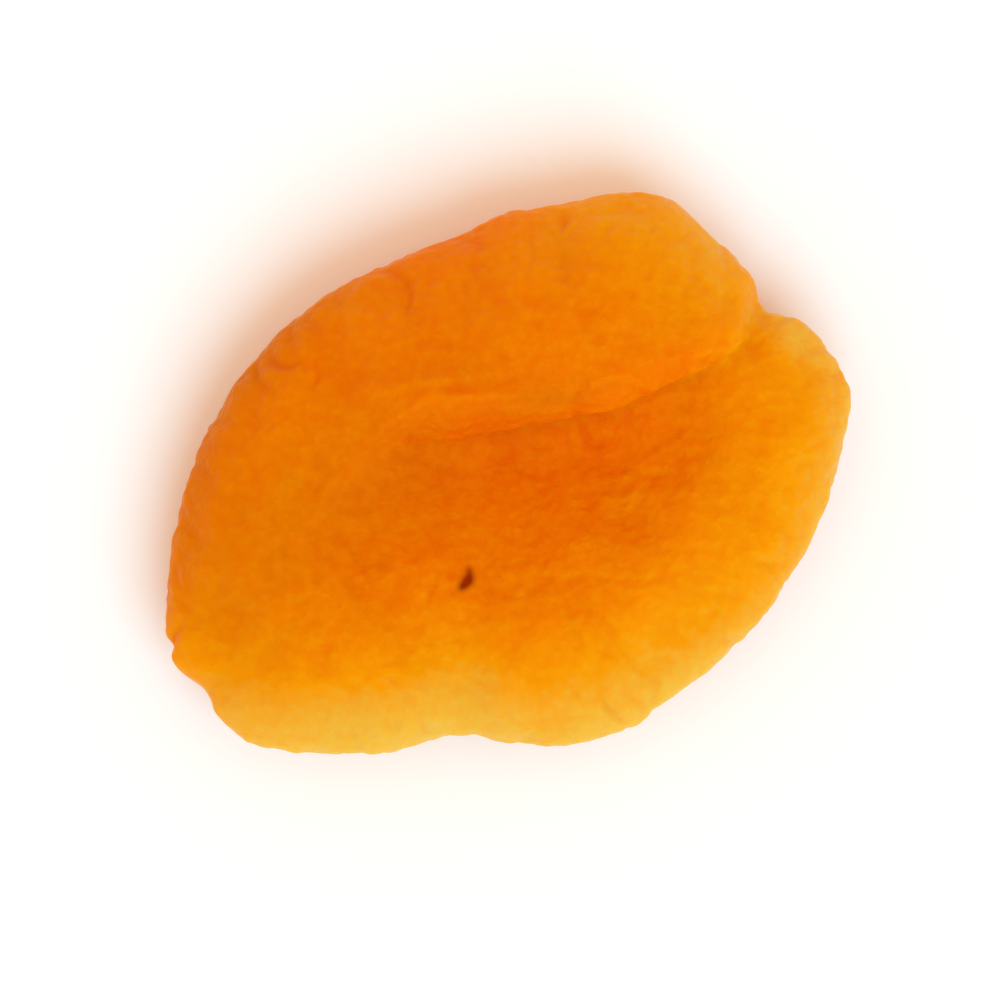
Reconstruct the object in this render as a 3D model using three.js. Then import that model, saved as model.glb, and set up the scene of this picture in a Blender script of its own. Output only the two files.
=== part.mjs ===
/**
 * Dried apricot: one whole fruit, pitted and dried flat, lying on its skin side.
 *
 * The fruit is one closed body. The faces of a box, cut into a grid, are blown up to a unit sphere, and
 * the sphere is carried onto the fruit point by point: its equator becomes the rim, its upper half the top
 * and its lower half the underside. The grid's rows follow the slit and close up beside it.
 *
 * Frame: millimetres, +Z up. The origin is on the flat spot that the fruit rests on, below the middle of
 * its length and width. +X runs along the fruit to the stem end, where the pit was pushed out, and the
 * slit that it left runs along the top from there.
 */
import * as THREE from "three";
import { mergeVertices } from "three/addons/utils/BufferGeometryUtils.js";

// Driving dimensions, in millimetres. Angles are in degrees, anticlockwise from +X.
const LENGTH = 41.5;
const WIDTH = 29.8;
const RIM_HEIGHT = 4.5; // the widest line of the edge, above the table
const CROWN = 3.4; // the top above the rim, before its pads and hollows
const REST_SINK = 0.12; // how far the soft underside is pressed flat
const TOP_FULLNESS = 4.2; // 2 is a dome, more is a flatter top with a plumper edge
const UNDER_FULLNESS = 3.1;
const UNDER_CREASE_END = 6; // how far the underside's creases stay from the flat spot

// Swells and dents of the outline: out is how far the edge moves, spread is half its width in degrees.
const OUTLINE = [
  { at: 15, out: -1.3, spread: 53 }, // the stem end is blunt
  { at: 63, out: 0.8, spread: 8 },
  { at: 39.5, out: 2.3, spread: 15 }, // corner of the upper pad
  { at: 10, out: -0.95, spread: 4 }, // mouth of the slit, between the pads
  { at: -7.5, out: 1.15, spread: 11 }, // end of the lower pad
  { at: -85, out: 0.3, spread: 5.5 },
  { at: -125, out: -2.25, spread: 17 }, // pinch in the lower edge
  { at: -160, out: 0.6, spread: 5.5 },
  { at: -171.5, out: -0.55, spread: 3.2 }, // nick in the blossom end
  { at: -176.5, out: 1.75, spread: 17.5 }, // blossom end
  { at: 174, out: -1.6, spread: 35 }, // above the nick it is blunt
];
const OUTLINE_FADE = 3; // how fast swells and dents die away towards the middle

// Bells raised on the top: height is negative for a hollow, along and across are half its size.
const TOP_FORMS = [
  { x: 4, y: 8.2, height: 1.5, along: 13, across: 4.6, turn: -4 }, // upper pad
  { x: 13.5, y: 8, height: 0.8, along: 4, across: 4, turn: 0 }, // its end at the slit's mouth
  { x: 0.6, y: 6.6, height: 0.35, along: 5.5, across: 0.9, turn: -22 }, // roll along the flap's edge
  { x: 9, y: 12, height: -0.5, along: 3, across: 1.2, turn: 70 }, // dent in the upper pad's side
  { x: 4, y: -8.8, height: 1.2, along: 12, across: 4.2, turn: 6 }, // lower pad
  { x: 15.5, y: -3, height: 1.5, along: 3.6, across: 5.5, turn: 0 }, // its end at the slit's mouth
  { x: -13, y: 1.5, height: 1, along: 5, across: 6, turn: 0 }, // blossom end
  { x: -13, y: -5.5, height: 0.7, along: 4, across: 2.6, turn: -20 },
  { x: -6.8, y: -10.4, height: -1, along: 2.8, across: 1.6, turn: 60 }, // pinch in the lower edge
  { x: 2.5, y: 0.3, height: -1.75, along: 10, across: 4.3, turn: -8 }, // where the pit was
];

// Creases of the underside, which run in from the rim. The height is how far they go in.
const UNDER_FORMS = [
  { x: 17, y: 2.4, height: 1.6, along: 6, across: 1.5, turn: 8 }, // from the slit's mouth
  { x: -17, y: -2, height: 1, along: 5.5, across: 1.2, turn: 8 }, // from the nick
  { x: -7, y: -11, height: 1.4, along: 5, across: 1.4, turn: 60 }, // from the pinch
  { x: 6, y: 12, height: 0.9, along: 4.5, across: 1.2, turn: 75 },
];

// The slit: its upper side is a flap that leans over the hollow. It runs in from the stem end, arches
// towards the upper pad and fades to a crease.
const SLIT_Y = 2.5;
const SLIT_ARCH = { x: -3, rise: 3.5, spread: 6.3 };
const SLIT_FADE = { from: -8, to: 1, crease: 0.16 };
const SLIT_MOUTH = { from: 16, to: 19, rise: 1.6, closing: 0.6 };
const SLIT_GROOVE = { depth: 0.5, spread: 0.9 };
const SLIT_HEIGHT = 1.8; // from the hollow's side to the flap's
const SLIT_STEEPNESS = 0.7; // half the width of the step
const SLIT_REACH = 7; // how far the flap's rise and the hollow's fall carry
const FLAP_LEAN = 1.2;
const FLAP_REACH = 4.5;

// Ripples: soft lumps of the flesh, and the rim's slow wave. Length is from one crest to the next.
const LUMPS = [
  { height: 0.09, length: 7.1, turn: 19, phase: 40 },
  { height: 0.07, length: 8.1, turn: 103, phase: 120 },
  { height: 0.06, length: 5.9, turn: -48, phase: 230 },
];
const RIM_WAVE = [
  { height: 0.3, length: 42, turn: 20, phase: 30 },
  { height: 0.2, length: 33, turn: -65, phase: 70 },
];

// The grid that the body is made of.
const CUTS = { along: 42, across: 34, up: 16 };
const ROW_TURN = 10; // turns the grid's middle row to the slit's mouth
const GATHER = 0.68; // share by which the rows close up beside the slit
const GATHER_REACH = 3;
const GATHER_EDGE = 8; // keeps that closing-up away from the rim

const COLOUR = 0xe87a0c;

const radians = THREE.MathUtils.degToRad;
const degrees = THREE.MathUtils.radToDeg;
const smooth = (from, to, value) => THREE.MathUtils.smoothstep(value, from, to);

/** A bell of height 1: it is 1 at distance 0 and nearly 0 at twice its spread. */
const bell = (distance, spread) => Math.exp(-((distance / spread) ** 2));

/** The sum of bells that are longer than wide, each with its own place and turn. */
function relief(forms, x, y) {
  return forms.reduce((sum, form) => {
    const cosine = Math.cos(radians(form.turn));
    const sine = Math.sin(radians(form.turn));
    const along = (x - form.x) * cosine + (y - form.y) * sine;
    const across = (y - form.y) * cosine - (x - form.x) * sine;
    return sum + form.height * bell(along, form.along) * bell(across, form.across);
  }, 0);
}

/** The sum of straight waves. */
function ripple(waves, x, y) {
  return waves.reduce((sum, { height, length, turn, phase }) => {
    const along = x * Math.cos(radians(turn)) + y * Math.sin(radians(turn));
    return sum + height * Math.sin((2 * Math.PI * along) / length + radians(phase));
  }, 0);
}

/** Distance from the middle to the outline: an ellipse with swells and dents. */
function outlineRadius(direction, fade = 1) {
  const ellipse = 1 / Math.hypot(Math.cos(direction) / (LENGTH / 2), Math.sin(direction) / (WIDTH / 2));
  return OUTLINE.reduce((radius, { at, out, spread }) => {
    const away = THREE.MathUtils.euclideanModulo(degrees(direction) - at + 180, 360) - 180;
    return radius + fade * out * bell(away, spread);
  }, ellipse);
}

/** Share of the full height at a place: 1 in the middle, 0 at the rim, with a round edge. */
function fullness(x, y, power) {
  const share = Math.hypot(x, y) / outlineRadius(Math.atan2(y, x));
  return Math.sqrt(1 - Math.min(share, 1) ** power);
}

/** Height of the layer that ends in the rim's widest line. */
const rimHeight = (x, y) => RIM_HEIGHT + ripple(RIM_WAVE, x, y);

/** The slit's line on the top. */
function slitY(x) {
  const arch = SLIT_ARCH.rise * bell(x - SLIT_ARCH.x, SLIT_ARCH.spread);
  return SLIT_Y + arch + SLIT_MOUTH.rise * smooth(SLIT_MOUTH.from, SLIT_MOUTH.to, x);
}

/** How strong the slit is at a place along it: 1 when open, less at its mouth and where it fades. */
function slitStrength(x) {
  const open = SLIT_FADE.crease + (1 - SLIT_FADE.crease) * smooth(SLIT_FADE.from, SLIT_FADE.to, x);
  return open * (1 - SLIT_MOUTH.closing * smooth(SLIT_MOUTH.from, SLIT_MOUTH.to, x));
}

/** The step from the hollow up to the flap's edge, with a groove that deepens towards the mouth. */
function slitStep(x, y) {
  const across = y - slitY(x);
  const step = (SLIT_HEIGHT / 2) * slitStrength(x) * Math.tanh(across / SLIT_STEEPNESS);
  const groove = SLIT_GROOVE.depth * smooth(0, SLIT_MOUTH.to, x) * bell(across, SLIT_GROOVE.spread);
  return step * bell(across, SLIT_REACH) - groove;
}

/** The fruit's top at a place in its outline. What is high beside the slit leans over it. */
function topPoint(x, y) {
  const rim = rimHeight(x, y);
  const height = CROWN + relief(TOP_FORMS, x, y) + slitStep(x, y) + ripple(LUMPS, x, y);
  const z = rim + fullness(x, y, TOP_FULLNESS) * height;
  const lean = FLAP_LEAN * slitStrength(x) * smooth(rim + CROWN - SLIT_HEIGHT, rim + CROWN, z);
  return new THREE.Vector3(x, y - lean * bell(y - slitY(x), FLAP_REACH), z);
}

/** The underside at a place in the outline. It is pressed flat where it rests. */
function underPoint(x, y) {
  const full = fullness(x, y, UNDER_FULLNESS);
  const creases = (relief(UNDER_FORMS, x, y) + ripple(LUMPS, x, -y)) * full * (1 - full ** UNDER_CREASE_END);
  const z = rimHeight(x, y) * (1 - full) + creases;
  return new THREE.Vector3(x, y, Math.max(z - REST_SINK, 0));
}

/** Moves a place on the top so that the grid's rows follow the slit and close up beside it. */
function alongSlit(x, y, share) {
  const middleRow = Math.max(x, 0) * Math.tan(radians(ROW_TURN));
  const followed = y + (slitY(x) - middleRow) * (1 - share * share);
  const aside = followed - slitY(x);
  return followed - GATHER * (1 - share ** GATHER_EDGE) * aside * bell(aside, GATHER_REACH);
}

/** Carries one point of the unit sphere onto the fruit. */
function fruitPoint(p) {
  const around = Math.atan2(p.y, p.x);
  const direction = around + radians(ROW_TURN) * ((1 + Math.cos(around)) / 2) ** 2;
  const share = Math.hypot(p.x, p.y);
  const radius = outlineRadius(direction, share ** OUTLINE_FADE) * share;
  const x = radius * Math.cos(direction);
  const y = radius * Math.sin(direction);
  return p.z > 0 ? topPoint(x, alongSlit(x, y, share)) : underPoint(x, y);
}

/** A point of a box of size 2, blown up to the unit sphere with even steps. */
function blownUp(boxPoint) {
  const even = boxPoint.toArray().map((side) => Math.tan((side * Math.PI) / 4));
  return new THREE.Vector3(...even).normalize();
}

/** The fruit's body, centred on its length and width. */
function fruitGeometry() {
  const box = new THREE.BoxGeometry(2, 2, 2, CUTS.along, CUTS.across, CUTS.up);
  box.deleteAttribute("normal");
  box.deleteAttribute("uv");
  const geometry = mergeVertices(box);
  const position = geometry.attributes.position;
  for (let i = 0; i < position.count; i++) {
    const point = fruitPoint(blownUp(new THREE.Vector3().fromBufferAttribute(position, i)));
    position.setXYZ(i, point.x, point.y, point.z);
  }
  geometry.computeBoundingBox();
  const middle = geometry.boundingBox.getCenter(new THREE.Vector3());
  geometry.translate(-middle.x, -middle.y, 0);
  geometry.computeVertexNormals();
  return geometry;
}

const flesh = new THREE.MeshStandardMaterial({ color: COLOUR, roughness: 0.45, metalness: 0 });
const apricot = new THREE.Mesh(fruitGeometry(), flesh);
apricot.name = "dried_apricot";

const part = new THREE.Group();
part.add(apricot);

export default part;
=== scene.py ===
"""The looks of one dried, pitted apricot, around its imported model.

The fruit is one fine mesh. A box's grid is blown up to a unit sphere, the sphere is carried onto the
fruit by the same formulas as the solid, and fine wrinkles and lumps are raised on it along its normals.
The form is written in millimetres, in the solid's frame: +X along the fruit to the stem end, +Z up, and
the origin on the flat spot that it rests on. Meshes, lights and the camera are in metres.
"""
import logging
import math
from collections.abc import Sequence
from dataclasses import dataclass, field
from enum import Enum

import bpy
import numpy as np
from numpy.typing import NDArray
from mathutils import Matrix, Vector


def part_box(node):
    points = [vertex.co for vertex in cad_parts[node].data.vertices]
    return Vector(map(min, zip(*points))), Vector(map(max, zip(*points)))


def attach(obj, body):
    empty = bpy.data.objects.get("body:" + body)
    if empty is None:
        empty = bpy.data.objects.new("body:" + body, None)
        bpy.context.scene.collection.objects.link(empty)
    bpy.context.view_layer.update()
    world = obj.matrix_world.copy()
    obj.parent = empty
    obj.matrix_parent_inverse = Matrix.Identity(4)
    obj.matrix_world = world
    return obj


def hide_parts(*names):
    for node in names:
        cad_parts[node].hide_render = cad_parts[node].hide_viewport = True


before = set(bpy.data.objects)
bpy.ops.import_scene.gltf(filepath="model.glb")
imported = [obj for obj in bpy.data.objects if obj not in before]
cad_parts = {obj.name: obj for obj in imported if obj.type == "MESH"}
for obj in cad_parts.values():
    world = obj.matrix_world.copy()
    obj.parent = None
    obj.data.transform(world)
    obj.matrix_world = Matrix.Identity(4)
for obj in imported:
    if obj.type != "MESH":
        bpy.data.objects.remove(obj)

Array = NDArray[np.float64]
Quads = NDArray[np.int64]
Link = bpy.types.NodeSocket
Number = float | int
Range = tuple[float, float]

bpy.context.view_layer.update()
LOG = logging.getLogger("dried_apricot")
NODE = "dried_apricot"
MM = 0.001


# ---------------------------------------------------------------------------------------------------
# Building blocks of the form
# ---------------------------------------------------------------------------------------------------


def bell(distance: Array, spread: float) -> Array:
    """Return a bell of height 1: e to the minus (distance over spread) squared."""
    return np.exp(-((distance / spread) ** 2))


def smooth(start: float, end: float, value: Array) -> Array:
    """Return the smooth step: 3t^2 - 2t^3, where t runs from 0 at start to 1 at end."""
    t = np.clip((value - start) / (end - start), 0.0, 1.0)
    return t * t * (3.0 - 2.0 * t)


@dataclass(frozen=True)
class Swell:
    """A swell or dent by direction: its direction and half width in degrees, and how far it goes out."""

    at: float
    out: float
    spread: float

    def along(self, direction: Array) -> Array:
        """Return the swell at directions in degrees: out times a bell of the angle away from it."""
        away = np.mod(direction - self.at + 180.0, 360.0) - 180.0
        return self.out * bell(away, self.spread)


@dataclass(frozen=True)
class Mound:
    """A long bell on the surface: its middle, height, half length, half width and turn in degrees."""

    x: float
    y: float
    height: float
    half_length: float
    half_width: float
    turn: float = 0.0

    def over(self, x: Array, y: Array) -> Array:
        """Return the mound's height: height times a bell along its line times a bell across it.

        Args:
            x: Places along the fruit.
            y: Places across it.

        Returns:
            The height at each place.
        """
        cosine = math.cos(math.radians(self.turn))
        sine = math.sin(math.radians(self.turn))
        along = (x - self.x) * cosine + (y - self.y) * sine
        across = (y - self.y) * cosine - (x - self.x) * sine
        return self.height * bell(along, self.half_length) * bell(across, self.half_width)


@dataclass(frozen=True)
class Ripple:
    """A straight wave: its height, length from crest to crest, and turn and phase in degrees."""

    height: float
    length: float
    turn: float
    phase: float

    def over(self, x: Array, y: Array) -> Array:
        """Return the wave's height: height times the sine of the distance along its direction.

        Args:
            x: Places along the fruit.
            y: Places across it.

        Returns:
            The height at each place.
        """
        turn = math.radians(self.turn)
        along = x * math.cos(turn) + y * math.sin(turn)
        return self.height * np.sin(2.0 * math.pi * along / self.length + math.radians(self.phase))


def total(forms: Sequence[Mound | Ripple], x: Array, y: Array) -> Array:
    """Return the sum of mounds or ripples at each place."""
    return sum((form.over(x, y) for form in forms), np.zeros_like(x))


# ---------------------------------------------------------------------------------------------------
# The form of the fruit, in millimetres
# ---------------------------------------------------------------------------------------------------


@dataclass(frozen=True)
class Slit:
    """The slit on the top, where the pit was pushed out, and the flap that leans over it.

    Attributes:
        line_y: Where the slit runs across the fruit, away from its arch.
        arch_x, arch_rise, arch_spread: Middle, height and half width of the arch in its line.
        fade_from, fade_to: Where along the fruit it opens, from a mere crease.
        crease: How open it is where it is a mere crease.
        mouth_from, mouth_to: Where along the fruit its mouth begins and ends.
        mouth_rise, mouth_closing: How far the line turns up in the mouth, and how much it closes there.
        groove_depth, groove_spread: Depth and half width of the groove along the line.
        height, steepness: Height of the step up to the flap, and how wide the step is.
        reach: How far from the line the step fades out.
        lean, lean_reach: How far the flap leans over, and how far from the line the lean fades out.
    """

    line_y: float = 2.5
    arch_x: float = -3.0
    arch_rise: float = 3.5
    arch_spread: float = 6.3
    fade_from: float = -8.0
    fade_to: float = 1.0
    crease: float = 0.16
    mouth_from: float = 16.0
    mouth_to: float = 19.0
    mouth_rise: float = 1.6
    mouth_closing: float = 0.6
    groove_depth: float = 0.5
    groove_spread: float = 0.9
    height: float = 1.8
    steepness: float = 0.7
    reach: float = 7.0
    lean: float = 1.2
    lean_reach: float = 4.5

    def line(self, x: Array) -> Array:
        """Return the slit's y along x: level, with a bell-shaped arch and a rise at the mouth."""
        arch = self.arch_rise * bell(x - self.arch_x, self.arch_spread)
        return self.line_y + arch + self.mouth_rise * smooth(self.mouth_from, self.mouth_to, x)

    def strength(self, x: Array) -> Array:
        """Return how open the slit is along x: from a crease to 1, and less again at the mouth."""
        is_open = self.crease + (1.0 - self.crease) * smooth(self.fade_from, self.fade_to, x)
        return is_open * (1.0 - self.mouth_closing * smooth(self.mouth_from, self.mouth_to, x))

    def step(self, x: Array, y: Array) -> Array:
        """Return the step from the hollow up to the flap: a tanh across the line, less a groove.

        Args:
            x: Places along the fruit.
            y: Places across it.

        Returns:
            The height at each place.
        """
        across = y - self.line(x)
        rise = self.height / 2.0 * self.strength(x) * np.tanh(across / self.steepness)
        groove = self.groove_depth * smooth(0.0, self.mouth_to, x) * bell(across, self.groove_spread)
        return rise * bell(across, self.reach) - groove

    def leaning(self, x: Array, y: Array, raised: Array) -> Array:
        """Return how far the flap leans over: lean times how raised it is times a bell across."""
        return self.lean * self.strength(x) * raised * bell(y - self.line(x), self.lean_reach)


@dataclass(frozen=True)
class FruitForm:
    """The closed form of the fruit, as a function of a place in its outline.

    Attributes:
        length, width: Size of the ellipse that the outline starts from.
        rim_height, crown: Height of the widest line, and of the top above it.
        rest_sink: How far the lowest point would go below the floor: this makes the flat spot.
        top_fullness, under_fullness: How full the top and the underside are towards the rim.
        crease_end: How sharply the underside's creases end before the flat spot.
        outline_fade: How quickly the outline's swells fade towards the middle.
        row_turn: Turn in degrees of the grid's middle row, so that it ends in the slit's mouth.
        gather, gather_reach, gather_edge: How strongly the grid's rows close up along the slit, how far
            from it, and how near the rim they still do.
        slit: The slit and its flap.
        outline: Swells and dents of the outline.
        pads_and_hollows: Mounds of the top.
        under_creases: Creases of the underside, which run in from the rim.
        lumps: Waves of a few millimetres all over.
        rim_wave: Slow waves of the rim's height.
    """

    length: float = 41.5
    width: float = 29.8
    rim_height: float = 4.5
    crown: float = 3.4
    rest_sink: float = 0.12
    top_fullness: float = 4.2
    under_fullness: float = 3.1
    crease_end: int = 6
    outline_fade: float = 3.0
    row_turn: float = 10.0
    gather: float = 0.68
    gather_reach: float = 3.0
    gather_edge: float = 8.0
    slit: Slit = Slit()
    outline: tuple[Swell, ...] = (
        Swell(15.0, -1.3, 53.0),
        Swell(63.0, 0.8, 8.0),
        Swell(39.5, 2.3, 15.0),
        Swell(10.0, -0.95, 4.0),
        Swell(-7.5, 1.15, 11.0),
        Swell(-85.0, 0.3, 5.5),
        Swell(-125.0, -2.25, 17.0),
        Swell(-160.0, 0.6, 5.5),
        Swell(-171.5, -0.55, 3.2),
        Swell(-176.5, 1.75, 17.5),
        Swell(174.0, -1.6, 35.0),
    )
    pads_and_hollows: tuple[Mound, ...] = (
        Mound(4.0, 8.2, 1.5, 13.0, 4.6, -4.0),
        Mound(13.5, 8.0, 0.8, 4.0, 4.0),
        Mound(0.6, 6.6, 0.35, 5.5, 0.9, -22.0),
        Mound(9.0, 12.0, -0.5, 3.0, 1.2, 70.0),
        Mound(4.0, -8.8, 1.2, 12.0, 4.2, 6.0),
        Mound(15.5, -3.0, 1.5, 3.6, 5.5),
        Mound(-13.0, 1.5, 1.0, 5.0, 6.0),
        Mound(-13.0, -5.5, 0.7, 4.0, 2.6, -20.0),
        Mound(-6.8, -10.4, -1.0, 2.8, 1.6, 60.0),
        Mound(2.5, 0.3, -1.75, 10.0, 4.3, -8.0),
    )
    under_creases: tuple[Mound, ...] = (
        Mound(17.0, 2.4, 1.6, 6.0, 1.5, 8.0),
        Mound(-17.0, -2.0, 1.0, 5.5, 1.2, 8.0),
        Mound(-7.0, -11.0, 1.4, 5.0, 1.4, 60.0),
        Mound(6.0, 12.0, 0.9, 4.5, 1.2, 75.0),
    )
    lumps: tuple[Ripple, ...] = (
        Ripple(0.09, 7.1, 19.0, 40.0),
        Ripple(0.07, 8.1, 103.0, 120.0),
        Ripple(0.06, 5.9, -48.0, 230.0),
    )
    rim_wave: tuple[Ripple, ...] = (
        Ripple(0.3, 42.0, 20.0, 30.0),
        Ripple(0.2, 33.0, -65.0, 70.0),
    )

    def outline_radius(self, direction: Array, fade: Array | float = 1.0) -> Array:
        """Return the distance from the middle to the outline: an ellipse's radius plus the swells.

        Args:
            direction: Directions in radians.
            fade: Share of the swells that is kept.

        Returns:
            Radii in millimetres.
        """
        across = np.hypot(np.cos(direction) / (self.length / 2), np.sin(direction) / (self.width / 2))
        swells = sum(swell.along(np.degrees(direction)) for swell in self.outline)
        return 1.0 / across + fade * swells

    def share(self, x: Array, y: Array) -> Array:
        """Return how far out a place is: 0 in the middle, 1 on the outline."""
        return np.minimum(np.hypot(x, y) / self.outline_radius(np.arctan2(y, x)), 1.0)

    def fullness(self, x: Array, y: Array, power: float) -> Array:
        """Return the share of the full height: the root of 1 minus share to the power."""
        return np.sqrt(1.0 - self.share(x, y) ** power)

    def rim(self, x: Array, y: Array) -> Array:
        """Return the height of the layer that ends in the rim's widest line."""
        return self.rim_height + total(self.rim_wave, x, y)

    def above_rim(self, z: Array) -> Array:
        """Return 1 for heights above the rim's, and 0 for the others."""
        return (z > self.rim_height).astype(np.float64)

    def top(self, x: Array, y: Array) -> Array:
        """Carry places in the outline onto the top.

        The height is the rim's plus the fullness times crown, mounds, slit step and lumps. What is high
        beside the slit then leans over it, towards -Y.

        Args:
            x: Places along the fruit.
            y: Places across it.

        Returns:
            Points, one row each.
        """
        rim = self.rim(x, y)
        height = self.crown + total(self.pads_and_hollows, x, y) + self.slit.step(x, y)
        height = height + total(self.lumps, x, y)
        z = rim + self.fullness(x, y, self.top_fullness) * height
        raised = smooth(0.0, 1.0, (z - rim - self.crown + self.slit.height) / self.slit.height)
        return np.stack([x, y - self.slit.leaning(x, y, raised), z], axis=-1)

    def under(self, x: Array, y: Array) -> Array:
        """Carry places in the outline onto the underside.

        The height falls from the rim's by the fullness. Creases run in from the rim and end before the
        flat spot, which is where the form would go below the floor.

        Args:
            x: Places along the fruit.
            y: Places across it.

        Returns:
            Points, one row each.
        """
        full = self.fullness(x, y, self.under_fullness)
        creases = total(self.under_creases, x, y) + total(self.lumps, x, -y)
        z = self.rim(x, y) * (1.0 - full) + creases * full * (1.0 - full**self.crease_end)
        return np.stack([x, y, np.maximum(z - self.rest_sink, 0.0)], axis=-1)

    def along_slit(self, x: Array, y: Array, share: Array) -> Array:
        """Move places so that the grid's rows follow the slit and close up beside it.

        Args:
            x: Places along the fruit.
            y: Places across it.
            share: How far out the places are.

        Returns:
            The new y of each place.
        """
        middle_row = np.maximum(x, 0.0) * math.tan(math.radians(self.row_turn))
        followed = y + (self.slit.line(x) - middle_row) * (1.0 - share * share)
        aside = followed - self.slit.line(x)
        pull = self.gather * (1.0 - share**self.gather_edge)
        return followed - pull * aside * bell(aside, self.gather_reach)

    def carry(self, sphere: Array) -> Array:
        """Carry points of the unit sphere onto the fruit.

        A point's direction and its distance from the axis give a place in the outline; the upper half
        goes to the top and the rest to the underside.

        Args:
            sphere: Points of the unit sphere, one row each.

        Returns:
            Points of the fruit, one row each.
        """
        around = np.arctan2(sphere[:, 1], sphere[:, 0])
        direction = around + math.radians(self.row_turn) * ((1.0 + np.cos(around)) / 2.0) ** 2
        share = np.hypot(sphere[:, 0], sphere[:, 1])
        radius = self.outline_radius(direction, share**self.outline_fade) * share
        x = radius * np.cos(direction)
        y = radius * np.sin(direction)
        is_top = sphere[:, 2:] > 0.0
        return np.where(is_top, self.top(x, self.along_slit(x, y, share)), self.under(x, y))


# ---------------------------------------------------------------------------------------------------
# The grid and the fine relief
# ---------------------------------------------------------------------------------------------------


@dataclass(frozen=True)
class BoxSphere:
    """A unit sphere made of the blown-up faces of a box, each cut into a grid."""

    along: int = 190
    across: int = 150
    up: int = 56

    def build(self) -> tuple[Array, Quads]:
        """Build the sphere.

        Each face of the box is a grid of two parameters from -1 to 1. A parameter's tangent at 45
        degrees evens out the steps, and each point is divided by its length. Shared edges are merged.

        Returns:
            Points, one row each, and quads of point numbers that face outwards.
        """
        cuts = (self.along, self.across, self.up)
        points: list[Array] = []
        quads: list[Quads] = []
        start = 0
        for axis in range(3):
            first, second = (axis + 1) % 3, (axis + 2) % 3
            steps = (np.linspace(-1.0, 1.0, cuts[other] + 1) for other in (first, second))
            u, v = np.meshgrid(*steps, indexing="ij")
            numbers = np.arange(u.size).reshape(u.shape)
            corners = (numbers[:-1, :-1], numbers[1:, :-1], numbers[1:, 1:], numbers[:-1, 1:])
            face = np.stack([corner.ravel() for corner in corners], axis=-1)
            for side in (-1.0, 1.0):
                grid = np.empty((u.size, 3))
                grid[:, first] = u.ravel()
                grid[:, second] = v.ravel()
                grid[:, axis] = side
                points.append(grid)
                quads.append((face if side > 0.0 else face[:, ::-1]) + start)
                start += u.size
        box = np.concatenate(points)
        rounded = np.round(box, decimals=6)
        _, keep, merged = np.unique(rounded, axis=0, return_index=True, return_inverse=True)
        even = np.tan(box[keep] * math.pi / 4.0)
        sphere = even / np.linalg.norm(even, axis=1, keepdims=True)
        return sphere, merged.reshape(-1)[np.concatenate(quads)]


def point_normals(points: Array, quads: Quads) -> Array:
    """Return unit normals: at each point, the sum of the cross products of its quads' diagonals.

    Args:
        points: Points, one row each.
        quads: Quads of point numbers.

    Returns:
        Normals, one row each.
    """
    corners = points[quads]
    faces = np.cross(corners[:, 2] - corners[:, 0], corners[:, 3] - corners[:, 1])
    sums = np.zeros_like(points)
    for corner in range(4):
        for axis in range(3):
            sums[:, axis] += np.bincount(quads[:, corner], faces[:, axis], len(points))
    return sums / np.linalg.norm(sums, axis=1, keepdims=True)


def random_field(points: Array, length: float, seed: int, waves: int = 14) -> Array:
    """Return a smooth random field with a mean of 0 and a spread of 1.

    It is the sum of sine waves in random directions, scaled by the root of their number.

    Args:
        points: Where, one row each.
        length: Length of each wave.
        seed: Seed of the draw.
        waves: Number of waves.

    Returns:
        The field at each point.
    """
    random = np.random.default_rng(seed)
    directions = random.normal(size=(waves, 3))
    directions /= np.linalg.norm(directions, axis=1, keepdims=True)
    phases = random.uniform(0.0, 2.0 * math.pi, waves)
    sines = np.sin(2.0 * math.pi / length * points @ directions.T + phases)
    return sines.sum(axis=1) * math.sqrt(2.0 / waves)


@dataclass(frozen=True)
class Grain:
    """Uneven flesh: random fields of several lengths, each with its height."""

    layers: tuple[tuple[float, float], ...] = ((4.6, 0.055), (2.4, 0.035), (1.3, 0.02), (0.8, 0.012))
    seed: int = 3

    def over(self, points: Array) -> Array:
        """Return the relief: the sum of the fields times their heights.

        Args:
            points: Where, one row each.

        Returns:
            The height at each point.
        """
        relief = np.zeros(len(points))
        for number, (length, height) in enumerate(self.layers):
            relief += height * random_field(points, length, self.seed + number)
        return relief


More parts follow.
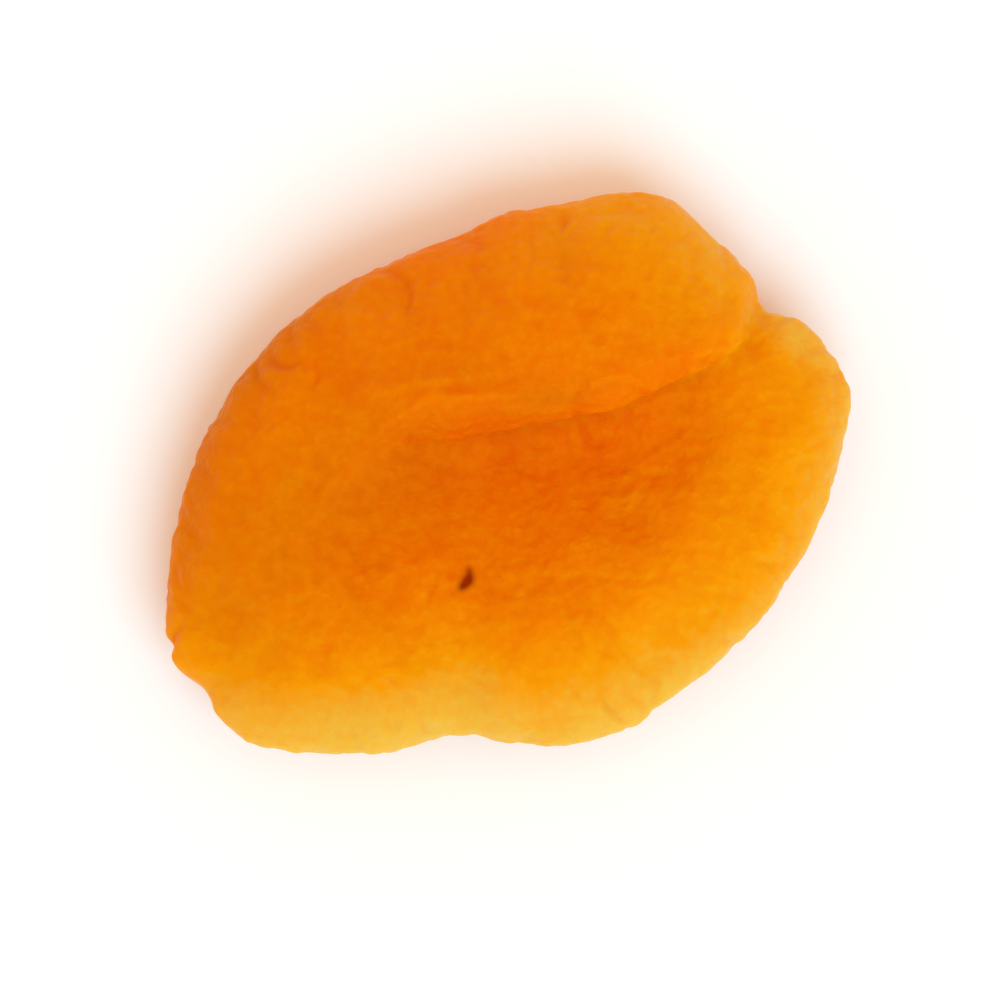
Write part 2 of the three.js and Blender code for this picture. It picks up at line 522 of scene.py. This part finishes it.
@dataclass(frozen=True)
class Wrinkles:
    """Short, shallow wrinkles of the dried skin, placed by a seeded draw and bent by slow fields.

    Attributes:
        count: Number of wrinkles.
        half_length, half_width, depth: Least and greatest size of a wrinkle.
        seed: Seed of the draw.
        least_share, most_share: Where they are: 0 in the middle of the outline, 1 at its edge.
        scatter: Spread of their turns, in degrees.
        bend, bend_length: How far the slow fields move them, and over what length.
    """

    count: int
    half_length: Range
    half_width: Range
    depth: Range
    seed: int
    least_share: float = 0.05
    most_share: float = 0.98
    scatter: float = 30.0
    bend: float = 0.55
    bend_length: float = 6.0

    def draw(self, form: FruitForm) -> tuple[Mound, ...]:
        """Draw the wrinkles: spread over the outline, and turned more and more outwards near the rim.

        Args:
            form: The smooth form.

        Returns:
            The wrinkles, as hollows.
        """
        random = np.random.default_rng(self.seed)
        wrinkles: list[Mound] = []
        for _ in range(self.count):
            share = math.sqrt(random.uniform(self.least_share, self.most_share))
            around = random.uniform(-180.0, 180.0)
            x = form.length / 2.0 * share * math.cos(math.radians(around))
            y = form.width / 2.0 * share * math.sin(math.radians(around))
            turn = around * share**2 + random.normal(0.0, self.scatter)
            depth = random.uniform(*self.depth)
            size = random.uniform(*self.half_length), random.uniform(*self.half_width)
            wrinkles.append(Mound(x, y, -depth, *size, turn))
        return tuple(wrinkles)

    def over(self, points: Array, form: FruitForm) -> Array:
        """Return the relief: the sum of the drawn wrinkles at places moved by two slow fields.

        Args:
            points: Where, one row each.
            form: The smooth form.

        Returns:
            The height at each point.
        """
        shift_x = self.bend * random_field(points, self.bend_length, self.seed + 1)
        shift_y = self.bend * random_field(points, self.bend_length, self.seed + 2)
        return total(self.draw(form), points[:, 0] + shift_x, points[:, 1] + shift_y)


@dataclass(frozen=True)
class SkinRelief:
    """The fine relief of the fruit: grain, wrinkles, and small folds along the flap's edge.

    Attributes:
        grain: Unevenness of the flesh.
        wrinkles: Long and short wrinkles, and the deeper ones near the rim.
        flap_folds: The folds along the flap's edge.
        fold_start: How far above the rim's height the folds are at their full height.
        rest_clear: How far above the floor the relief is at its full height.
    """

    grain: Grain = Grain()
    wrinkles: tuple[Wrinkles, ...] = (
        Wrinkles(70, (1.2, 3.2), (0.25, 0.45), (0.04, 0.1), seed=11),
        Wrinkles(260, (0.5, 1.3), (0.14, 0.24), (0.02, 0.05), seed=12),
        Wrinkles(60, (1.0, 2.2), (0.22, 0.4), (0.06, 0.14), seed=13, least_share=0.8, scatter=14.0),
    )
    flap_folds: tuple[Mound, ...] = (
        Mound(-1.4, 7.5, 0.13, 2.6, 0.28, -15.0),
        Mound(-3.6, 6.4, 0.09, 1.6, 0.24, 8.0),
        Mound(1.0, 5.6, 0.14, 2.1, 0.26, -24.0),
        Mound(2.6, 4.3, 0.13, 1.8, 0.24, -22.0),
        Mound(4.6, 3.2, 0.12, 1.7, 0.24, -16.0),
        Mound(8.2, 3.4, 0.07, 2.4, 0.26, -8.0),
    )
    fold_start: float = 1.0
    rest_clear: float = 0.7

    def folds(self, points: Array) -> Array:
        """Return the height of the flap's folds: the sum of their mounds."""
        return total(self.flap_folds, points[:, 0], points[:, 1])

    def over(self, points: Array, form: FruitForm) -> Array:
        """Return how far each point moves out: grain, wrinkles and folds, and nothing near the floor.

        Args:
            points: Points of the smooth form, one row each.
            form: The smooth form.

        Returns:
            The height of the relief at each point.
        """
        z = points[:, 2]
        raised = self.grain.over(points) + sum(kind.over(points, form) for kind in self.wrinkles)
        on_top = smooth(form.rim_height, form.rim_height + self.fold_start, z)
        raised = raised + on_top * self.folds(points)
        return raised * smooth(0.0, self.rest_clear, z)


@dataclass(frozen=True)
class MarkingsAndPaintedLight:
    """Paleness, deep colour, painted light and shade, and specks, at points of the smooth form.

    Attributes:
        pale_edge: How narrow the pale edge is: paler flesh there, and painted light on the lit side.
        unlit_side: Direction in degrees of the side away from the key light, whose edge gets no painted
            light.
        pale_turn: Where the edge turns pale, on the way round from the unlit side, 0, to the lit side,
            1.
        skin_paleness: How pale the skin side is, below the rim, as a share of the top side.
        fold_highlight: How strong the painted highlights on the crests of the flap's folds are.
        pale_and_painted_light_patches: Paler flesh, painted light on lit rims, and painted shade in
            hollows.
        deep_and_painted_shade_patches: Deeper flesh in the hollow, and painted shade along the crease
            under the flap.
        painted_shade_patches: Painted shade on the side away from the key light, and along the flap's
            edge.
            painted_shade_rim, painted_shade_edge: Where round the rim shade is painted, and how narrow
                it is.
        speck_marks: Dark specks on the top.
    """

    pale_edge: int = 3
    unlit_side: float = 105.0
    pale_turn: Range = (0.1, 0.85)
    skin_paleness: float = 0.45
    fold_highlight: float = 0.6
    # Paler flesh and painted light on the lit rims; the mounds that are hollows are painted shade.
    pale_and_painted_light_patches: tuple[Mound, ...] = (
        # The lit lower rim: paler flesh and painted light.
        Mound(-14.0, -7.8, 0.42, 6.5, 2.8, -20.0),
        Mound(-18.5, -4.5, 0.12, 1.8, 3.0),
        Mound(-6.0, -7.8, 0.16, 5.0, 2.2, -15.0),
        Mound(13.5, 10.0, 0.3, 4.5, 4.5),
        Mound(11.0, 12.9, 0.2, 4.0, 1.3, -30.0),
        Mound(-1.0, -13.0, 0.12, 5.0, 3.0, -10.0),
        # Painted shade at the slit's mouth.
        Mound(16.5, 3.0, -0.13, 4.0, 3.0),
        # Painted light on the thin, lit edge of the lobe by the notch.
        Mound(19.0, 1.0, 0.3, 2.2, 1.0, -65.0),
        Mound(13.0, -10.0, -0.28, 6.5, 3.1, 45.0),
        Mound(-9.3, 5.4, 0.13, 2.2, 1.3),
        Mound(9.0, 11.2, 0.16, 4.0, 2.0),
        Mound(16.5, 7.0, 0.2, 1.6, 2.5),
        Mound(-18.3, 0.4, 0.13, 1.6, 1.8),
        Mound(-7.0, -5.2, 0.1, 4.0, 1.2, -5.0),
        Mound(16.8, 9.6, 0.13, 2.6, 1.2, -58.0),
        Mound(1.5, -5.6, 0.06, 5.5, 1.7, -5.0),
        Mound(17.6, -4.6, -0.1, 1.7, 3.0),
        Mound(9.5, -11.0, -0.07, 3.2, 1.5, 35.0),
        Mound(-12.6, -8.2, -0.05, 2.8, 1.6, -20.0),
        Mound(-10.2, -3.4, 0.07, 1.8, 1.2),
        Mound(-11.0, 4.2, 0.06, 2.2, 1.6),
    )
    # Deeper flesh in the hollow, with painted shade in it, along the crease under the flap and at the
    # slit's mouth.
    deep_and_painted_shade_patches: tuple[Mound, ...] = (
        Mound(1.5, 1.4, 0.85, 9.5, 3.4, -14.0),
        Mound(0.8, 3.8, 0.8, 4.6, 1.0, -14.0),
        Mound(-3.2, 2.7, 0.32, 2.8, 1.5, -20.0),
        Mound(13.0, 2.5, 0.6, 2.6, 1.2, 5.0),
        Mound(8.8, 0.4, 0.3, 2.4, 1.6),
        Mound(-7.3, -0.7, 0.35, 2.2, 1.2),
    )
    # Painted shade on the side away from the key light, at the left end, and along the flap's edge.
    painted_shade_patches: tuple[Mound, ...] = (
        Mound(-6.5, 4.2, 0.3, 9.5, 4.6, 10.0),
        Mound(-16.0, 2.0, 0.15, 4.0, 5.0),
        Mound(4.4, 3.6, 0.3, 3.4, 1.1, -14.0),
        Mound(13.0, 4.8, 0.12, 2.6, 2.2),
    )
    # Painted shade on the rim, on the side away from the key light.
    painted_shade_rim: Swell = Swell(132.0, 0.7, 36.0)
    painted_shade_edge: float = 12.0
    speck_marks: tuple[Mound, ...] = (
        Mound(-3.8, -3.6, 1.2, 0.42, 0.34, 30.0),
        Mound(-4.25, -3.8, 0.8, 0.3, 0.22, 10.0),
        Mound(-3.5, -3.15, 0.6, 0.3, 0.2, 75.0),
        Mound(-7.9, -0.85, 0.15, 0.5, 0.35, 20.0),
    )

    def pale(self, points: Array, form: FruitForm, folds: Array) -> Array:
        """Return how pale each point is, by paler flesh, painted light and painted shade.

        The flesh is pale at the edge, by a power of the share, with painted light on the edge but for
        the side away from the key light; it is paler in the patches, some of which are painted light and
        some, as hollows, painted shade; the flap's folds carry painted highlights; all of it is less on
        the skin side.

        Args:
            points: Points of the smooth form, one row each.
            form: The smooth form.
            folds: Height of the flap's folds at the points.

        Returns:
            Paleness with painted light and shade, mostly from 0 to 1.
        """
        x, y, z = points.T
        # Painted light: the edge is paler towards the side that faces the key light, and not on the side
        # away from it.
        away = 0.5 - 0.5 * np.cos(np.arctan2(y, x) - math.radians(self.unlit_side))
        edge = form.share(x, y) ** self.pale_edge * smooth(*self.pale_turn, away)
        pale = edge + total(self.pale_and_painted_light_patches, x, y)
        above = smooth(0.0, form.rim_height, z)
        # Painted highlights on the crests of the flap's folds.
        painted_fold_highlights = self.fold_highlight * folds * form.above_rim(z)
        return pale * (self.skin_paleness + (1.0 - self.skin_paleness) * above) + painted_fold_highlights

    def deep(self, points: Array, form: FruitForm) -> Array:
        """Return the deeper flesh and painted shade at each point: the sum of these patches, on the top.
        """
        x, y, z = points.T
        return total(self.deep_and_painted_shade_patches, x, y) * form.above_rim(z)

    def tan(self, points: Array, form: FruitForm) -> Array:
        """Return the painted shade: the patches, and part of the rim by a power of the share.

        Args:
            points: Points of the smooth form, one row each.
            form: The smooth form.

        Returns:
            The painted shade, mostly from 0 to 1.
        """
        x, y, _ = points.T
        rim = self.painted_shade_rim.along(np.degrees(np.arctan2(y, x))) * form.share(x, y) ** self.painted_shade_edge
        return total(self.painted_shade_patches, x, y) + rim

    def specks(self, points: Array, form: FruitForm) -> Array:
        """Return how dark each point is by the specks: the sum of their mounds, on the top."""
        x, y, z = points.T
        return total(self.speck_marks, x, y) * form.above_rim(z)


# ---------------------------------------------------------------------------------------------------
# Shader tools
# ---------------------------------------------------------------------------------------------------


class Maths(Enum):
    """Operations of the Math node that the finishes use."""

    ADD = "ADD"
    SUBTRACT = "SUBTRACT"
    MULTIPLY = "MULTIPLY"


class Tint(Enum):
    """Values that the mesh stores at each of its points and the finish reads."""

    # The stored pale and deep values carry painted light and shade as well as the flesh's colour; the
    # stored tan value is painted shade.
    PALE_AND_PAINTED_LIGHT = "pale"
    DEEP_AND_PAINTED_SHADE = "deep"
    FURROW_SHADE = "furrow"
    PAINTED_SHADE = "tan"
    SPECK = "speck"


@dataclass(frozen=True)
class Noise:
    """A noise pattern: its features in a metre, the number of finer layers and their strength."""

    scale: float
    detail: float
    roughness: float


class Nodes:
    """Adds nodes to one material."""

    def __init__(self, material: bpy.types.Material) -> None:
        """Start from an empty node tree."""
        material.use_nodes = True
        self.tree = material.node_tree
        self.tree.nodes.clear()

    def add(
        self,
        kind: str,
        settings: dict[str, object] | None = None,
        inputs: dict[str | int, object] | None = None,
    ) -> bpy.types.Node:
        """Add a node.

        Args:
            kind: Type of the node, such as "ShaderNodeMath".
            settings: Values of its properties, set before its sockets.
            inputs: Value, or socket or Value to link, for each input by name or number.

        Returns:
            The node.
        """
        node = self.tree.nodes.new(kind)
        for name, value in (settings or {}).items():
            setattr(node, name, value)
        for name, value in (inputs or {}).items():
            socket = node.inputs[name]
            source = value.socket if isinstance(value, Value) else value
            if isinstance(source, bpy.types.NodeSocket):
                self.tree.links.new(source, socket)
            else:
                socket.default_value = source
        return node

    def value(self, node: bpy.types.Node, output: str | int = 0) -> "Value":
        """Wrap one output of a node as a Value."""
        return Value(self, node.outputs[output])

    def noise(self, where: Link, pattern: Noise) -> "Value":
        """Return the pattern's value, from 0 to 1, at the coordinates where."""
        inputs = {
            "Vector": where,
            "Scale": pattern.scale,
            "Detail": pattern.detail,
            "Roughness": pattern.roughness,
        }
        return self.value(self.add("ShaderNodeTexNoise", None, inputs), "Fac")

    def cells(self, where: Link, scale: float, smoothness: float) -> "Value":
        """Return the distance to the middle of the nearest of many rounded cells.

        Args:
            where: Coordinates, in metres.
            scale: Number of cells in a metre.
            smoothness: How rounded they are, from 0 to 1.

        Returns:
            The distance, as a share of a cell.
        """
        inputs = {"Vector": where, "Scale": scale, "Smoothness": smoothness}
        node = self.add("ShaderNodeTexVoronoi", {"feature": "SMOOTH_F1"}, inputs)
        return self.value(node, "Distance")

    def tint(self, tint: Tint) -> "Value":
        """Return one of the values that the mesh stores at its points."""
        settings = {"attribute_type": "GEOMETRY", "attribute_name": tint.value}
        return self.value(self.add("ShaderNodeAttribute", settings), "Fac")

    def span(self, value: "Value", start: float, end: float) -> "Value":
        """Carry a value smoothly onto 0 to 1.

        Args:
            value: The value.
            start: Where it becomes more than 0.
            end: Where it reaches 1.

        Returns:
            The new value.
        """
        settings = {"interpolation_type": "SMOOTHSTEP"}
        inputs = {"Value": value, "From Min": start, "From Max": end}
        return self.value(self.add("ShaderNodeMapRange", settings, inputs), "Result")

    def ramp(self, value: "Value", stops: Sequence[tuple[float, "Colour"]]) -> Link:
        """Turn a value into a colour.

        Args:
            value: The value.
            stops: Places and colours of a ramp, in order.

        Returns:
            The ramp's colour at the value.
        """
        node = self.add("ShaderNodeValToRGB", None, {"Fac": value})
        elements = node.color_ramp.elements
        while len(elements) < len(stops):
            elements.new(1.0)
        for element, (position, colour) in zip(elements, stops):
            element.position = position
            element.color = colour.rgba
        return node.outputs["Color"]

    def mix(self, factor: "Value", first: object, second: object) -> Link:
        """Mix two colours.

        Args:
            factor: 0 for the first colour, 1 for the second.
            first: A colour or a socket.
            second: A colour or a socket.

        Returns:
            The mixed colour.
        """
        inputs = {0: factor, 6: first, 7: second}
        return self.add("ShaderNodeMix", {"data_type": "RGBA"}, inputs).outputs[2]


class Value:
    """A shader value that Python's operators work on."""

    def __init__(self, nodes: Nodes, socket: Link) -> None:
        """Wrap a socket."""
        self.nodes = nodes
        self.socket = socket

    def _maths(self, operation: Maths, first: object, second: object) -> "Value":
        """Add a Math node with two operands and return its result."""
        settings = {"operation": operation.value}
        return self.nodes.value(self.nodes.add("ShaderNodeMath", settings, {0: first, 1: second}))

    def __add__(self, other: "Value | Number") -> "Value":
        """Return self + other."""
        return self._maths(Maths.ADD, self, other)

    __radd__ = __add__

    def __sub__(self, other: "Value | Number") -> "Value":
        """Return self - other."""
        return self._maths(Maths.SUBTRACT, self, other)

    def __rsub__(self, other: "Value | Number") -> "Value":
        """Return other - self."""
        return self._maths(Maths.SUBTRACT, other, self)

    def __mul__(self, other: "Value | Number") -> "Value":
        """Return self * other."""
        return self._maths(Maths.MULTIPLY, self, other)

    __rmul__ = __mul__


@dataclass(frozen=True)
class Colour:
    """A colour as it looks on a screen, each part from 0 to 255."""

    red: int
    green: int
    blue: int

    @property
    def rgba(self) -> tuple[float, float, float, float]:
        """Return the colour in linear light, by the sRGB curve, with full opacity."""
        parts = (part / 255.0 for part in (self.red, self.green, self.blue))
        linear = (part / 12.92 if part <= 0.04045 else ((part + 0.055) / 1.055) ** 2.4 for part in parts)
        return (*linear, 1.0)


# ---------------------------------------------------------------------------------------------------
# Finishes
# ---------------------------------------------------------------------------------------------------


@dataclass(frozen=True)
class ToneWeights:
    """How much each cause adds to the flesh's tone, from 0, deep orange, to 1, pale yellow.

    Attributes:
        start: Where the scale starts from.
        pale: Added where the mesh is pale, by paler flesh and by painted light and shade.
        deep, furrow: Taken off in the hollow, for deeper flesh and painted shade, and in furrows, as
            painted shade.
        patches, mottle: Added and taken off by the two noise patterns.
        cells, cell_middle: Added in the cells' middles as grain and painted glints, and the distance
            where that ends.
    """

    start: float = 0.345
    pale: float = 0.68
    deep: float = 0.2
    furrow: float = 0.08
    patches: float = 0.3
    mottle: float = 0.15
    cells: float = 0.16
    cell_middle: float = 0.35


@dataclass(frozen=True)
class ApricotFlesh:
    """Translucent flesh with a satin skin: deep orange to pale yellow, with painted shade in places.

    Attributes:
        colours: Colours of the flesh by tone.
        tone: What makes the tone, painted light and shade among it.
        painted_shade_colour, speck: Colour of the painted shade, and of the specks.
        speck_edge: Values of the mottle between which a speck goes from bare to full.
        sheen: Colour of the skin's reflections.
        gloss, ior: Strength of the reflections, and the index of refraction.
        translucency: Share of the light that goes into the flesh.
        scatter, scatter_radius: How far it goes, in metres, and the shares of it for red, green, blue.
        roughness, mottle_span: Least and greatest roughness, and the mottle's values that give them.
        patches, mottle, fine: Noise patterns, from large to small.
        cell_scale, cell_smoothness: The skin's cells in a metre, and how rounded they are.
        fine_height, cell_depth: Heights of the fine pattern and the cells; the mottle's is 1.
        bump, bump_height: Strength of the bump, and its height in metres.
    """

    colours: tuple[tuple[float, Colour], ...] = (
        (0.0, Colour(231, 92, 0)),
        (0.3, Colour(232, 120, 0)),
        (0.65, Colour(235, 150, 2)),
        (1.0, Colour(228, 174, 56)),
    )
    ripeness: ToneWeights = ToneWeights()
    painted_shade_colour: Colour = Colour(190, 112, 0)
    speck: Colour = Colour(150, 40, 0)
    speck_edge: Range = (0.1, 0.42)
    sheen: Colour = Colour(255, 200, 70)
    gloss: float = 0.12
    ior: float = 1.4
    translucency: float = 0.75
    scatter: float = 0.0026
    scatter_radius: tuple[float, float, float] = (1.0, 0.34, 0.07)
    roughness: Range = (0.36, 0.52)
    mottle_span: Range = (0.3, 0.7)
    patches: Noise = Noise(130.0, 3.0, 0.55)
    mottle: Noise = Noise(620.0, 3.0, 0.6)
    fine: Noise = Noise(3200.0, 3.0, 0.6)
    cell_scale: float = 1700.0
    cell_smoothness: float = 0.6
    fine_height: float = 0.6
    cell_depth: float = 0.7
    bump: float = 0.8
    bump_height: float = 0.0002

    def colour(self, nodes: Nodes, where: Link, mottle: Value, cells: Value) -> Link:
        """Add the base colour.

        It is the colour at the tone, which is a sum of weighted causes, painted light and shade among
        them;
        then it goes to the painted shade's colour by the painted shade, and to the speck's by the specks
        times the mottle, which frays their edges.

        Args:
            nodes: Where the nodes go.
            where: Coordinates, in metres.
            mottle: The middle noise pattern.
            cells: Distance to the middle of the skin's cells.

        Returns:
            The colour.
        """
        weight = self.ripeness
        # Paler flesh and painted light, with painted shade where the pale patches are hollows.
        ripeness = weight.start + weight.pale * nodes.tint(Tint.PALE_AND_PAINTED_LIGHT)
        # Deeper flesh and painted shade in the hollow and under the flap.
        ripeness = ripeness - weight.deep * nodes.tint(Tint.DEEP_AND_PAINTED_SHADE)
        # Painted shade in the furrows of the wrinkles.
        ripeness = ripeness - weight.furrow * nodes.tint(Tint.FURROW_SHADE)
        ripeness = ripeness + weight.patches * (nodes.noise(where, self.patches) - 0.5)
        ripeness = ripeness + weight.mottle * (mottle - 0.5)
        # The cells' lighter middles: a fine grain of the skin, and painted glints in place of the
        # sparkles of its relief.
        ripeness = ripeness + weight.cells * (weight.cell_middle - cells)
        base = nodes.ramp(ripeness, self.colours)
        # Painted shade, in a darker orange.
        base = nodes.mix(nodes.tint(Tint.PAINTED_SHADE), base, self.painted_shade_colour.rgba)
        frayed = nodes.tint(Tint.SPECK) * nodes.span(mottle, *self.speck_edge)
        return nodes.mix(frayed, base, self.speck.rgba)

    def build(self) -> bpy.types.Material:
        """Build the material: the colour, a roughness and a fine bump over translucent flesh.

        Returns:
            The material.
        """
        material = bpy.data.materials.new("apricot_flesh")
        nodes = Nodes(material)
        where = nodes.add("ShaderNodeTexCoord").outputs["Object"]
        mottle = nodes.noise(where, self.mottle)
        cells = nodes.cells(where, self.cell_scale, self.cell_smoothness)
        height = mottle + self.fine_height * nodes.noise(where, self.fine) - self.cell_depth * cells
        relief = {"Height": height, "Strength": self.bump, "Distance": self.bump_height}
        bump = nodes.add("ShaderNodeBump", None, relief)
        low, high = self.roughness
        inputs = {
            "Base Color": self.colour(nodes, where, mottle, cells),
            "Roughness": low + (high - low) * nodes.span(mottle, *self.mottle_span),
            "IOR": self.ior,
            "Subsurface Weight": self.translucency,
            "Subsurface Radius": self.scatter_radius,
            "Subsurface Scale": self.scatter,
            "Specular IOR Level": self.gloss,
            "Specular Tint": self.sheen.rgba,
            "Normal": bump.outputs["Normal"],
        }
        skin = nodes.add("ShaderNodeBsdfPrincipled", {"subsurface_method": "RANDOM_WALK"}, inputs)
        nodes.add("ShaderNodeOutputMaterial", None, {"Surface": skin.outputs["BSDF"]})
        return material


@dataclass(frozen=True)
class PaleFloor:
    """A plain, matt, nearly white floor."""

    colour: Colour = Colour(253, 249, 248)
    roughness: float = 0.9
    gloss: float = 0.1

    def build(self) -> bpy.types.Material:
        """Build the material.

        Returns:
            The material.
        """
        material = bpy.data.materials.new("pale_floor")
        nodes = Nodes(material)
        inputs = {
            "Base Color": self.colour.rgba,
            "Roughness": self.roughness,
            "Specular IOR Level": self.gloss,
        }
        matt = nodes.add("ShaderNodeBsdfPrincipled", None, inputs)
        nodes.add("ShaderNodeOutputMaterial", None, {"Surface": matt.outputs["BSDF"]})
        return material


# ---------------------------------------------------------------------------------------------------
# The fruit
# ---------------------------------------------------------------------------------------------------


@dataclass
class DriedApricot:
    """The fruit: one closed body of flesh.

    Attributes:
        form, grid: The smooth form, and the grid that is carried onto it.
        skin: The fine relief.
        markings_and_painted_light: Where the colour varies, and where light and shade are painted.
        furrow_shade_depths: Depths of the relief at which painted shade in a furrow begins, and is full.
        flesh: The finish.
    """

    form: FruitForm = field(default_factory=FruitForm)
    grid: BoxSphere = field(default_factory=BoxSphere)
    skin: SkinRelief = field(default_factory=SkinRelief)
    markings_and_painted_light: MarkingsAndPaintedLight = field(default_factory=MarkingsAndPaintedLight)
    furrow_shade_depths: Range = (0.02, 0.16)
    flesh: ApricotFlesh = field(default_factory=ApricotFlesh)

    def tints(self, smooth_form: Array, relief: Array) -> dict[Tint, Array]:
        """Return what the mesh stores at its points for the finish, painted light and shade among it.

        Args:
            smooth_form: Points of the smooth form, one row each.
            relief: How far the relief moves each of them out.

        Returns:
            The values of each tint.
        """
        return {
            Tint.PALE_AND_PAINTED_LIGHT: self.markings_and_painted_light.pale(smooth_form, self.form, self.skin.folds(smooth_form)),
            Tint.DEEP_AND_PAINTED_SHADE: self.markings_and_painted_light.deep(smooth_form, self.form),
            # Painted shade, the deeper the furrow of the relief.
            Tint.FURROW_SHADE: smooth(*self.furrow_shade_depths, -relief),
            Tint.PAINTED_SHADE: self.markings_and_painted_light.tan(smooth_form, self.form),
            Tint.SPECK: self.markings_and_painted_light.specks(smooth_form, self.form),
        }

    def in_place(self, points: Array) -> Array:
        """Move points sideways, so that their box is centred over the middle of the solid's.

        Args:
            points: Points, one row each.

        Returns:
            The moved points.
        """
        low, high = (np.array(corner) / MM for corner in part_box(NODE))
        shift = (low + high) / 2.0 - (points.min(axis=0) + points.max(axis=0)) / 2.0
        shift[2] = 0.0
        return points + shift

    def build(self) -> bpy.types.Object:
        """Build the fruit, put it in the solid's place and dress it.

        Returns:
            The fruit's object.
        """
        sphere, quads = self.grid.build()
        smooth_form = self.form.carry(sphere)
        relief = self.skin.over(smooth_form, self.form)
        points = smooth_form + point_normals(smooth_form, quads) * relief[:, None]
        mesh = bpy.data.meshes.new(NODE)
        mesh.from_pydata((self.in_place(points) * MM).tolist(), [], quads.tolist())
        for tint, values in self.tints(smooth_form, relief).items():
            attribute = mesh.attributes.new(tint.value, "FLOAT", "POINT")
            attribute.data.foreach_set("value", values.astype(np.float32))
        mesh.shade_smooth()
        mesh.materials.append(self.flesh.build())
        fruit = bpy.data.objects.new("apricot", mesh)
        bpy.context.collection.objects.link(fruit)
        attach(fruit, "root")
        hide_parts(NODE)
        LOG.info("apricot: %d points, %d quads", len(points), len(quads))
        return fruit


# ---------------------------------------------------------------------------------------------------
# The studio
# ---------------------------------------------------------------------------------------------------


@dataclass
class Studio:
    """A pale floor, a wide cool key light, warm light all round, and a camera that looks straight down.

    Attributes:
        floor_size, floor_finish: Side and finish of the square floor.
        turn: Turn in degrees of the camera about the upright; the key light turns with it.
        camera_height, view_width: Height of the camera, and width of floor that it sees.
        sensor: Width of the camera's sensor, in millimetres.
        nearest: Nearest distance that the camera sees.
        room_strength, room_colour: The light all round.
        key_strength, key_colour, key_softness: The key light, and its width in degrees.
        key_height, key_turn: Where the key light stands, in degrees: its height above the floor, and its
            turn from the right side of the view.
    """

    floor_size: float = 6.0
    floor_finish: PaleFloor = field(default_factory=PaleFloor)
    turn: float = -25.0
    camera_height: float = 0.42
    view_width: float = 0.0575
    sensor: float = 36.0
    nearest: float = 0.01
    room_strength: float = 0.99
    room_colour: Colour = Colour(255, 227, 198)
    key_strength: float = 2.14
    key_colour: Colour = Colour(143, 219, 255)
    key_softness: float = 45.0
    key_height: float = 52.0
    key_turn: float = -62.0

    def build(self) -> None:
        """Build the floor, the lights, the world and the camera."""
        self.build_floor()
        self.build_key()
        self.build_room()
        self.build_camera()
        bpy.context.scene.view_settings.view_transform = "Standard"

    def build_floor(self) -> None:
        """Lay the floor at the height that the fruit rests on."""
        half = self.floor_size / 2.0
        corners = [(-half, -half, 0.0), (half, -half, 0.0), (half, half, 0.0), (-half, half, 0.0)]
        mesh = bpy.data.meshes.new("floor")
        mesh.from_pydata(corners, [], [(0, 1, 2, 3)])
        mesh.materials.append(self.floor_finish.build())
        floor = bpy.data.objects.new("floor", mesh)
        bpy.context.collection.objects.link(floor)
        LOG.info("floor: %.1f m square", self.floor_size)

    def build_key(self) -> None:
        """Add the key light, a wide, cool sun."""
        data = bpy.data.lights.new("key", "SUN")
        data.energy = self.key_strength
        data.color = self.key_colour.rgba[:3]
        data.angle = math.radians(self.key_softness)
        key = bpy.data.objects.new("key", data)
        from_upright = math.radians(90.0 - self.key_height)
        key.rotation_euler = (0.0, from_upright, math.radians(self.turn + self.key_turn))
        bpy.context.collection.objects.link(key)
        LOG.info("key light: %.0f degrees up, %.0f degrees wide", self.key_height, self.key_softness)

    def build_room(self) -> None:
        """Fill the surroundings with even, warm light."""
        room = bpy.data.worlds.new("room")
        room.use_nodes = True
        background = room.node_tree.nodes["Background"]
        background.inputs["Color"].default_value = self.room_colour.rgba
        background.inputs["Strength"].default_value = self.room_strength
        bpy.context.scene.world = room

    def build_camera(self) -> None:
        """Hang the camera straight above the fruit, turned so that the fruit lies aslant."""
        data = bpy.data.cameras.new("camera")
        data.sensor_width = self.sensor
        data.lens = self.sensor * self.camera_height / self.view_width
        data.clip_start = self.nearest
        camera = bpy.data.objects.new("camera", data)
        camera.location = (0.0, 0.0, self.camera_height)
        camera.rotation_euler = (0.0, 0.0, math.radians(self.turn))
        bpy.context.collection.objects.link(camera)
        bpy.context.scene.camera = camera
        LOG.info("camera: %.0f mm lens, %.2f m above", data.lens, self.camera_height)


def main() -> None:
    """Build the fruit and the studio."""
    logging.basicConfig(level=logging.INFO, format="%(name)s: %(message)s")
    DriedApricot().build()
    Studio().build()


if __name__ == "__main__":
    main()
